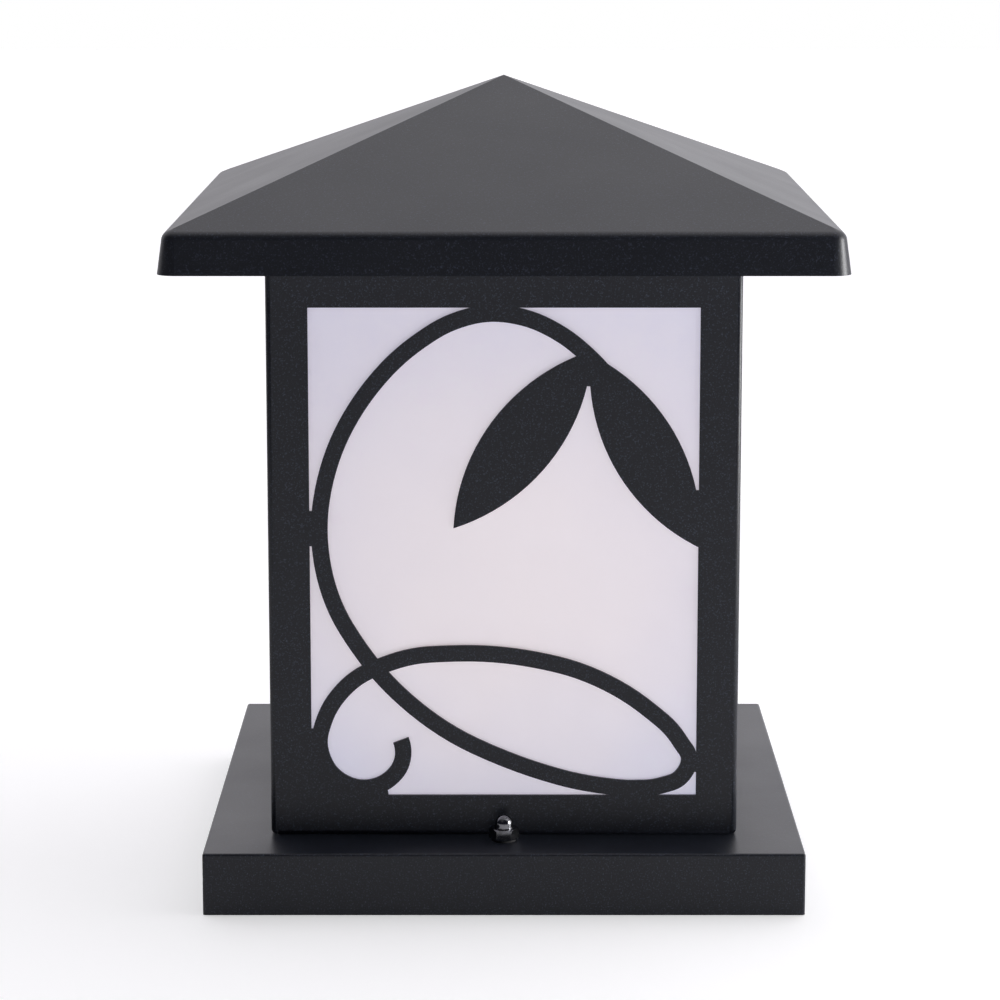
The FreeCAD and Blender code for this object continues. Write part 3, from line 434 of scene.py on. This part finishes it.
@dataclass(frozen=True)
class Brass:
    """Rolled brass, a little tarnished."""

    name: str = "rolled_brass"
    colour: Colour = (0.62, 0.43, 0.17)
    tarnish: Colour = (0.30, 0.19, 0.08)

    def make(self) -> bpy.types.Material:
        """Write the material."""
        graph = Finish(self.name)
        patch = graph.noise(3.4 * MM, 4.0, 0.6).step(0.50, 0.78)
        rolled = graph.noise(0.3 * MM, 2.0, 0.5, (1.0, 1.0, 0.15))
        graph.surface(Base_Color=graph.blend(patch * 0.7, self.colour, self.tarnish), Metallic=1.0,
                      Roughness=0.26 + patch * 0.18 + (rolled - 0.5) * 0.08,
                      Normal=graph.relief(rolled, 0.003 * MM, 0.6))
        return graph.material


@dataclass(frozen=True)
class Glazed:
    """White glazed ceramic with a few dark specks."""

    name: str = "glazed_ceramic"
    colour: Colour = (0.74, 0.72, 0.67)
    speck: Colour = (0.28, 0.24, 0.18)

    def make(self) -> bpy.types.Material:
        """Write the material."""
        graph = Finish(self.name)
        specks = graph.noise(0.8 * MM, 1.0).step(0.73, 0.78)
        wavy = graph.noise(6 * MM, 2.0)
        graph.surface(Base_Color=graph.blend(specks * 0.6 + wavy * 0.05, self.colour, self.speck),
                      Roughness=0.16 + wavy * 0.08, Coat_Weight=0.5 + wavy * 0.2,
                      Normal=graph.relief(wavy, 0.05 * MM, 0.5))
        return graph.material


@dataclass(frozen=True)
class Moulded:
    """A moulded plastic or rubber with a fine spark-eroded texture."""

    name: str
    colour: Colour
    mottle: Colour
    roughness: float
    texture: float = 0.35 * MM
    depth: float = 0.012 * MM

    def make(self) -> bpy.types.Material:
        """Write the material."""
        graph = Finish(self.name)
        texture = graph.noise(self.texture, 3.0, 0.6)
        mottle = graph.noise(7 * MM, 3.0)
        graph.surface(Base_Color=graph.blend(mottle * 0.5, self.colour, self.mottle),
                      Roughness=self.roughness + (texture - 0.5) * 0.12,
                      Normal=graph.relief(texture, self.depth, 0.7))
        return graph.material


@dataclass(frozen=True)
class LitFrost:
    """Frosted glass of a burning lamp: warm heart, softer towards the neck."""

    name: str = "lit_frosted_glass"
    body: Colour = (0.88, 0.86, 0.82)
    heart: Colour = (1.0, 0.86, 0.62)
    neck: Colour = (0.62, 0.50, 0.34)
    neck_height: float = 78 * MM
    heart_height: float = 118 * MM

    def make(self) -> bpy.types.Material:
        """Write the material."""
        graph = Finish(self.name)
        up = graph.parts(graph.place())[2]
        grain = graph.noise(0.4 * MM, 2.0)
        share = (up + (graph.noise(11 * MM) - 0.5) * 0.006).step(self.neck_height, self.heart_height)
        graph.surface(Base_Color=graph.blend(grain * 0.06, self.body, self.neck),
                      Roughness=0.42 + (grain - 0.5) * 0.08,
                      Emission_Color=graph.blend(share, self.neck, self.heart),
                      Emission_Strength=1.0, Normal=graph.relief(grain, 0.004 * MM, 0.5))
        return graph.material


@dataclass(frozen=True)
class Palette:
    """Every finish of the light, made once."""

    coat: bpy.types.Material
    opal: bpy.types.Material
    zinc: bpy.types.Material
    fastener: bpy.types.Material
    black_nickel: bpy.types.Material
    brass: bpy.types.Material
    ceramic: bpy.types.Material
    rubber: bpy.types.Material
    block: bpy.types.Material
    insulator: bpy.types.Material
    cap: bpy.types.Material
    glass: bpy.types.Material

    @classmethod
    def mixed(cls) -> "Palette":
        """Write all the materials."""
        return cls(
            coat=PowderCoat().make(), opal=LitOpal().make(), zinc=ZincSheet().make(),
            fastener=Plated("zinc_fastener", (0.56, 0.57, 0.58), (0.36, 0.36, 0.35), 0.28).make(),
            black_nickel=Plated("black_nickel", (0.23, 0.235, 0.25), (0.13, 0.13, 0.135), 0.13).make(),
            brass=Brass().make(), ceramic=Glazed().make(),
            rubber=Moulded("black_rubber", (0.016, 0.016, 0.017), (0.03, 0.03, 0.03), 0.68).make(),
            block=Moulded("cream_block", (0.66, 0.63, 0.55), (0.58, 0.55, 0.47), 0.42).make(),
            insulator=Moulded("black_insulator", (0.012, 0.012, 0.014), (0.02, 0.02, 0.022), 0.14).make(),
            cap=Plated("rolled_aluminium", (0.66, 0.66, 0.67), (0.44, 0.44, 0.44), 0.24).make(),
            glass=LitFrost().make())


# ------------------------------------------------------------------ mesh building
def bow(centre: Corner, radius: float, start: float, end: float, steps: int) -> list[Corner]:
    """Points of an arc in the plane of radius and height.

    Args:
        centre: its centre.
        radius: its radius.
        start: where it starts, degrees from the outward direction, rising.
        end: where it ends.
        steps: segments.

    Returns:
        The points, both ends included.
    """
    angles = [math.radians(start + (end - start) * k / steps) for k in range(steps + 1)]
    return [(centre[0] + radius * math.cos(a), centre[1] + radius * math.sin(a)) for a in angles]


@dataclass(frozen=True)
class Thread:
    """A rounded helical thread."""

    pitch: float
    depth: float
    low: float
    high: float
    steps: int = 14

    def bite(self, height: float, turn: float) -> float:
        """How deep the thread cuts at a height and a share of a turn, 0 outside its run."""
        fade = min(1.0, (height - self.low) / self.pitch, (self.high - height) / self.pitch)
        wave = 0.5 - 0.5 * math.cos(2 * math.pi * (height / self.pitch - turn))
        return self.depth * max(0.0, fade) * wave

    def rows(self) -> list[float]:
        """Heights at which its rings stand."""
        count = round((self.high - self.low) / self.pitch * self.steps)
        return [self.low + (self.high - self.low) * k / count for k in range(count + 1)]


@dataclass(frozen=True)
class Lathe:
    """Turned pieces about an upright axis."""

    y: float = 0.0
    sides: int = 96

    def spot(self, radius: float, height: float, step: float) -> Vector:
        """A point on the lathe's circle."""
        angle = 2 * math.pi * step / self.sides
        return Vector((radius * math.cos(angle), self.y + radius * math.sin(angle), height))

    def ring(self, mesh: bmesh.types.BMesh, radius: float, height: float,
             thread: Thread | None = None) -> list[Any]:
        """One ring of the piece, or a single point on the axis."""
        if radius < 1e-7:
            return [mesh.verts.new((0.0, self.y, height))]
        bites = [thread.bite(height, k / self.sides) if thread else 0.0 for k in range(self.sides)]
        return [mesh.verts.new(self.spot(radius - bite, height, k)) for k, bite in enumerate(bites)]

    def turned(self, profile: Sequence[Corner], thread: Thread | None = None) -> bmesh.types.BMesh:
        """Revolve a closed profile.

        Args:
            profile: corners as radius and height, in metres, going round the section; with a
                thread, the first two are the ends of the side that it is cut into.
            thread: the thread, where the piece has one.

        Returns:
            The closed mesh.
        """
        mesh = bmesh.new()
        rings = [self.ring(mesh, r, z) for r, z in profile]
        if thread:
            (radius, start), (_, end) = profile[:2]
            rings[1:1] = [self.ring(mesh, radius, z, thread) for z in thread.rows() if start < z < end]
        for ring, following in zip(rings, rings[1:] + rings[:1]):
            self.bridge(mesh, ring, following)
        bmesh.ops.recalc_face_normals(mesh, faces=mesh.faces)
        return mesh

    def bridge(self, mesh: bmesh.types.BMesh, first: list[Any], second: list[Any]) -> None:
        """Join two rings, either of which may be a single point."""
        if len(first) == 1 and len(second) == 1:
            return
        for k in range(self.sides):
            following = (k + 1) % self.sides
            corners = [first[k % len(first)], first[following % len(first)],
                       second[following % len(second)], second[k % len(second)]]
            mesh.faces.new(list(dict.fromkeys(corners)))


def joined(mesh: bmesh.types.BMesh, other: bmesh.types.BMesh) -> None:
    """Copy another mesh into the first and free it."""
    copies = {vertex: mesh.verts.new(vertex.co) for vertex in other.verts}
    for face in other.faces:
        mesh.faces.new([copies[vertex] for vertex in face.verts])
    other.free()


def finished(mesh: bmesh.types.BMesh, name: str, material: bpy.types.Material, body: str,
             nodes: Sequence[str] = (), sharp: float = 40.0) -> bpy.types.Object:
    """Turn a built mesh into a piece of the light.

    Args:
        mesh: the geometry, freed afterwards.
        name: the piece's name.
        material: its finish.
        body: the body that it moves with.
        nodes: frame nodes that it stands for.
        sharp: edges over this angle, in degrees, stay crisp.

    Returns:
        The piece.
    """
    data = bpy.data.meshes.new(name)
    for face in mesh.faces:
        face.smooth = True
    for edge in mesh.edges:
        edge.smooth = len(edge.link_faces) == 2 and edge.calc_face_angle(0.0) < math.radians(sharp)
    mesh.to_mesh(data)
    mesh.free()
    piece = bpy.data.objects.new(name, data)
    bpy.context.collection.objects.link(piece)
    data.materials.append(material)
    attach(piece, body)
    if nodes:
        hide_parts(*nodes)
    LOG.info("made %s: %d faces on %s", name, len(data.polygons), body)
    return piece


@dataclass
class Dresser:
    """Gives carried-over nodes their finish and softened edges."""

    frame: dict[str, Any]

    def dress(self, node: str, material: bpy.types.Material, edge: float = 0.0,
              segments: int = 2) -> bpy.types.Object:
        """Dress one node.

        Args:
            node: the node's name.
            material: its finish.
            edge: width of the softened edges in metres, 0 for none.
            segments: steps across each softened edge.

        Returns:
            The node's object.
        """
        piece = self.frame["nodes"][node]
        for slot in piece.material_slots:
            slot.material = material
        weld = piece.modifiers.new("weld", "WELD")
        weld.merge_threshold = 1e-6
        if edge:
            bevel = piece.modifiers.new("edges", "BEVEL")
            bevel.width, bevel.segments = edge, segments
            bevel.limit_method, bevel.angle_limit = "ANGLE", math.radians(32)
            bevel.harden_normals = True
            bevel.use_clamp_overlap = True
        LOG.info("dressed %s", node)
        return piece


# ------------------------------------------------------------------ sub-assemblies
@dataclass
class Cover:
    """Base pan, body, panes and roof."""

    dresser: Dresser
    finishes: Palette
    sheet_edge: float = 0.18 * MM
    apex: float = 310.0 * MM
    hip_low: float = 262.0 * MM
    hip_fall: float = 50.0 / 124.4
    hip_round: float = 2.6 * MM
    corners: ClassVar[tuple[str, ...]] = ("front_right", "back_right", "back_left", "front_left")

    def build(self) -> None:
        """Dress every piece of the cover."""
        for side in Side:
            self.dresser.dress(side.value + "_panel", self.finishes.coat, self.sheet_edge)
            self.dresser.dress(side.value + "_pane", self.finishes.opal, 0.25 * MM)
        for corner in self.corners:
            self.dresser.dress("corner_angle_" + corner, self.finishes.zinc, 0.12 * MM)
        self.dresser.dress("base_pan", self.finishes.coat, self.sheet_edge)
        self.soften_hips(self.dresser.dress("roof_cap", self.finishes.coat))
        self.dresser.dress("roof_soffit", self.finishes.zinc, 0.12 * MM)
        for node in ("roof_screws", "roof_nuts", "body_screws", "body_nuts"):
            self.dresser.dress(node, self.finishes.fastener, 0.25 * MM)

    def soften_hips(self, roof: bpy.types.Object) -> None:
        """Round the four hips of the roof, where the slopes meet outside."""
        mesh = roof.data
        weights = mesh.attributes.new("bevel_weight_edge", "FLOAT", "EDGE")
        for edge in mesh.edges:
            ends = [mesh.vertices[index].co for index in edge.vertices]
            hips = [abs(abs(p.x) - abs(p.y)) < 0.02 * MM and p.z > self.hip_low
                    and abs(self.apex - p.z - abs(p.x) * self.hip_fall) < 0.5 * MM for p in ends]
            weights.data[edge.index].value = float(all(hips))
        bevel = roof.modifiers.new("hips", "BEVEL")
        bevel.limit_method, bevel.width, bevel.segments = "WEIGHT", self.hip_round, 4


@dataclass
class CapNut:
    """A domed nut and its bonded washer, the nut plated black."""

    dresser: Dresser
    finishes: Palette
    side: Side

    def build(self) -> None:
        """Dress the nut and the washer."""
        self.dresser.dress(self.side.value + "_cap_nut", self.finishes.black_nickel, 0.3 * MM, 3)
        self.dresser.dress(self.side.value + "_washer", self.finishes.rubber, 0.12 * MM)


@dataclass
class PostFitting:
    """Strap, studs, bracket, terminal block and earth on the post."""

    dresser: Dresser
    finishes: Palette
    stud_y: float = 95.4 * MM
    stud_radius: float = 2.5 * MM
    stud_top: float = 29.5 * MM
    stud_head: tuple[float, float, float] = (19.0 * MM, 20.5 * MM, 3.75 * MM)
    stud_chamfer: float = 0.5 * MM
    stud_pitch: float = 0.8 * MM
    stud_depth: float = 0.40 * MM
    zinc_nodes: ClassVar[tuple[str, ...]] = ("mounting_strap", "lampholder_bracket")
    fastener_nodes: ClassVar[tuple[str, ...]] = (
        "bracket_screws", "terminal_clamp_screws", "terminal_block_screws")
    brass_nodes: ClassVar[tuple[str, ...]] = ("terminal_inserts", "earth_screw", "earth_washer")

    def build(self) -> None:
        """Dress every piece that stays on the post below the lampholder."""
        for node in self.zinc_nodes:
            self.dresser.dress(node, self.finishes.zinc, 0.15 * MM)
        for node in self.fastener_nodes:
            self.dresser.dress(node, self.finishes.fastener, 0.2 * MM)
        for node in self.brass_nodes:
            self.dresser.dress(node, self.finishes.brass, 0.12 * MM)
        self.dresser.dress("terminal_block", self.finishes.block, 0.2 * MM)
        self.dresser.dress("cable_grommet", self.finishes.rubber, 0.3 * MM, 3)
        self.studs()

    def studs(self) -> None:
        """Both cover studs in one piece, with their threads cut above the pan."""
        bottom, under, head = self.stud_head
        crest = self.stud_top - self.stud_chamfer
        thread = Thread(self.stud_pitch, self.stud_depth, under + 0.5 * MM, crest)
        profile = [(self.stud_radius, under), (self.stud_radius, crest),
                   (self.stud_radius - self.stud_chamfer, self.stud_top), (0.0, self.stud_top),
                   (0.0, bottom), (head - 0.2 * MM, bottom), (head, bottom + 0.2 * MM),
                   (head, under - 0.2 * MM), (head - 0.2 * MM, under)]
        both = Lathe(self.stud_y, 48).turned(profile, thread)
        twin = Lathe(-self.stud_y, 48).turned(profile, thread)
        joined(both, twin)
        finished(both, "threaded_cover_studs", self.finishes.fastener, "base",
                 ("cover_studs",))


@dataclass
class Lampholder:
    """Ceramic lampholder with its metal parts."""

    dresser: Dresser
    finishes: Palette

    def build(self) -> None:
        """Dress the lampholder."""
        self.dresser.dress("lampholder_body", self.finishes.ceramic, 0.6 * MM, 4)
        for node in ("holder_terminals", "holder_sleeve", "centre_contact"):
            self.dresser.dress(node, self.finishes.brass, 0.1 * MM)
        for node in ("holder_screws", "holder_nuts", "holder_terminal_screws"):
            self.dresser.dress(node, self.finishes.fastener, 0.2 * MM)


@dataclass
class Lamp:
    """The lamp: frosted globe, threaded cap, insulator and contact."""

    dresser: Dresser
    finishes: Palette
    cap_low: float = 48.05 * MM
    cap_high: float = 72.05 * MM
    cap_radius: float = 13.23 * MM
    cap_foot: float = 10.5 * MM
    pitch: float = 3.63 * MM
    depth: float = 1.1 * MM
    neck_radius: float = 12.9 * MM
    neck_height: float = 6.0 * MM
    globe_radius: float = 30.0 * MM
    globe_top: float = 150.0 * MM
    taper: float = 30.0

    def build(self) -> None:
        """Dress the lamp and turn its cap and globe."""
        self.dresser.dress("bulb_insulator", self.finishes.insulator, 0.2 * MM)
        self.dresser.dress("bulb_tip", self.finishes.brass, 0.2 * MM, 3)
        self.screw_cap()
        self.globe()

    def screw_cap(self) -> None:
        """Rolled cap with its round thread and a plain collar at the glass."""
        rise = self.cap_radius - self.cap_foot
        thread = Thread(self.pitch, self.depth, self.cap_low + rise, self.cap_high - 3.0 * MM)
        profile = [(self.cap_radius, self.cap_low + rise), (self.cap_radius, self.cap_high - 0.3 * MM),
                   (self.cap_radius - 0.3 * MM, self.cap_high), (0.0, self.cap_high),
                   (0.0, self.cap_low), (self.cap_foot, self.cap_low)]
        finished(Lathe(0.0, 96).turned(profile, thread), "threaded_lamp_cap", self.finishes.cap,
                 "lamp", ("bulb_cap",))

    def globe(self) -> None:
        """Blown globe: straight neck, eased corner, flank and sphere."""
        taper = math.radians(self.taper)
        centre = self.globe_top - self.globe_radius
        out = self.globe_radius * math.cos(taper)
        low = centre - self.globe_radius * math.sin(taper)
        corner = low - (out - self.neck_radius) / math.tan(taper)
        neck_top = self.cap_high + self.neck_height
        radius = (corner - neck_top) / math.tan(taper / 2)
        bend = bow((self.neck_radius + radius, neck_top), radius, 180.0, 180.0 - self.taper, 12)
        ball = bow((0.0, centre), self.globe_radius, -self.taper, 90.0, 48)
        profile = [(self.neck_radius, self.cap_high)] + bend + ball[:-1]
        profile += [(0.0, self.globe_top), (0.0, self.cap_high)]
        finished(Lathe(0.0, 128).turned(profile), "blown_lamp_globe", self.finishes.glass,
                 "lamp", ("bulb_glass",))


# ------------------------------------------------------------------ studio
@dataclass
class Studio:
    """Floor, light and camera."""

    camera_place: tuple[float, float, float] = (-1.5 * MM, -1306.7 * MM, 389.4 * MM)
    camera_pitch: float = 9.835
    lens: float = 118.06
    sensor: float = 36.0
    shift_up: float = -0.06
    floor_half: float = 6.0
    room: Colour = (0.02, 0.022, 0.032)
    paper_left: Colour = (0.95, 0.93, 0.98)
    paper_right: Colour = (1.26, 1.24, 1.29)
    paper_turn: float = 0.35
    right_share: float = 0.25
    top_share: float = 0.45
    sweep_low: float = -0.15
    sweep_high: float = 0.45

    def build(self) -> None:
        """Set everything that isn't the light itself."""
        bpy.context.scene.view_settings.view_transform = "Standard"
        self._camera()
        self._floor()
        self._world()
        self._lamp("key", (-0.9, -1.5, 1.9), 1.3, 0.7)
        strip = self._lamp("right_strip", (1.43, -0.36, 0.35), 0.55, 20.0)
        strip.use_shadow = False

    def _camera(self) -> None:
        """The photograph's view."""
        data = bpy.data.cameras.new("camera")
        data.lens, data.sensor_width, data.shift_y = self.lens, self.sensor, self.shift_up
        data.clip_start, data.clip_end = 0.05, 50.0
        camera = bpy.data.objects.new("camera", data)
        camera.location = self.camera_place
        camera.rotation_euler = (math.radians(90 - self.camera_pitch), 0.0, 0.0)
        bpy.context.collection.objects.link(camera)
        bpy.context.scene.camera = camera

    def _lamp(self, name: str, place: tuple[float, float, float], size: float,
              power: float) -> bpy.types.AreaLight:
        """A square soft light that faces the middle of the lantern."""
        data = bpy.data.lights.new(name, "AREA")
        data.size, data.energy = size, power
        lamp = bpy.data.objects.new(name, data)
        lamp.location = place
        aim = Vector((0.0, 0.0, 0.15)) - Vector(place)
        lamp.rotation_mode = "QUATERNION"
        lamp.rotation_quaternion = aim.to_track_quat("-Z", "Y")
        bpy.context.collection.objects.link(lamp)
        return data

    def _floor(self) -> None:
        """Pale floor that stays white in the picture and keeps the light's shadow; its glow is dimmer
        near the lantern, painted shade that deepens the shadow at its foot.
        """
        mesh = bpy.data.meshes.new("floor")
        half = self.floor_half
        mesh.from_pydata([(-half, -half, 0), (half, -half, 0), (half, half, 0), (-half, half, 0)],
                         [], [(0, 1, 2, 3)])
        floor = bpy.data.objects.new("floor", mesh)
        floor.location.z = -0.0002
        bpy.context.collection.objects.link(floor)
        graph = Finish("floor_paper")
        rays = graph.node("ShaderNodeLightPath", {}, {})
        seen = rays[0]
        fibre = graph.noise(1.5 * MM, 3.0)
        across, along, _ = graph.parts(graph.place())
        # Painted shade: the floor's glow for the camera is weaker within 0.3 m of the lantern and rises
        # out to 1.2 m, darkening the floor around its foot.
        away = (across * across + along * along).root().step(0.3, 1.2)
        lift_dimmed_near_as_painted_shade = graph.blend(away, (0.34, 0.34, 0.34), (0.47, 0.47, 0.47))
        graph.surface(Base_Color=graph.blend(fibre * 0.1, (0.82, 0.82, 0.82), (0.80, 0.80, 0.81)),
                      Roughness=0.85, Emission_Color=graph.blend(seen, (0, 0, 0), lift_dimmed_near_as_painted_shade),
                      Emission_Strength=1.0)
        mesh.materials.append(graph.material)

    def _world(self) -> None:
        """White sweep behind and above, dimmer room in front."""
        world = bpy.data.worlds.new("studio")
        bpy.context.scene.world = world
        world.use_nodes = True
        graph = Graph(world.node_tree)
        direction = graph.node("ShaderNodeTexCoord", {}, {})[0]
        across, along, up = graph.parts(direction)
        sweep = (along + across * self.right_share + up.most(0.0) * self.top_share)
        sheet = graph.blend(across.step(-self.paper_turn, self.paper_turn), self.paper_left,
                            self.paper_right)
        room = graph.blend(sweep.step(self.sweep_low, self.sweep_high), self.room, sheet)
        seen = graph.node("ShaderNodeLightPath", {}, {})[0]
        colour = graph.blend(seen, room, (1.0, 1.0, 1.0))
        light = graph.node("ShaderNodeBackground", {}, {0: colour, 1: 1.0})[0]
        graph.node("ShaderNodeOutputWorld", {}, {"Surface": light})


def main() -> None:
    """Dress the frame, build the finer pieces and set the studio."""
    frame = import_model()
    finishes = Palette.mixed()
    dresser = Dresser(frame)
    Studio().build()
    Cover(dresser, finishes).build()
    for side in (Side.FRONT, Side.BACK):
        CapNut(dresser, finishes, side).build()
    PostFitting(dresser, finishes).build()
    Lampholder(dresser, finishes).build()
    Lamp(dresser, finishes).build()


if __name__ == "__main__":
    main()
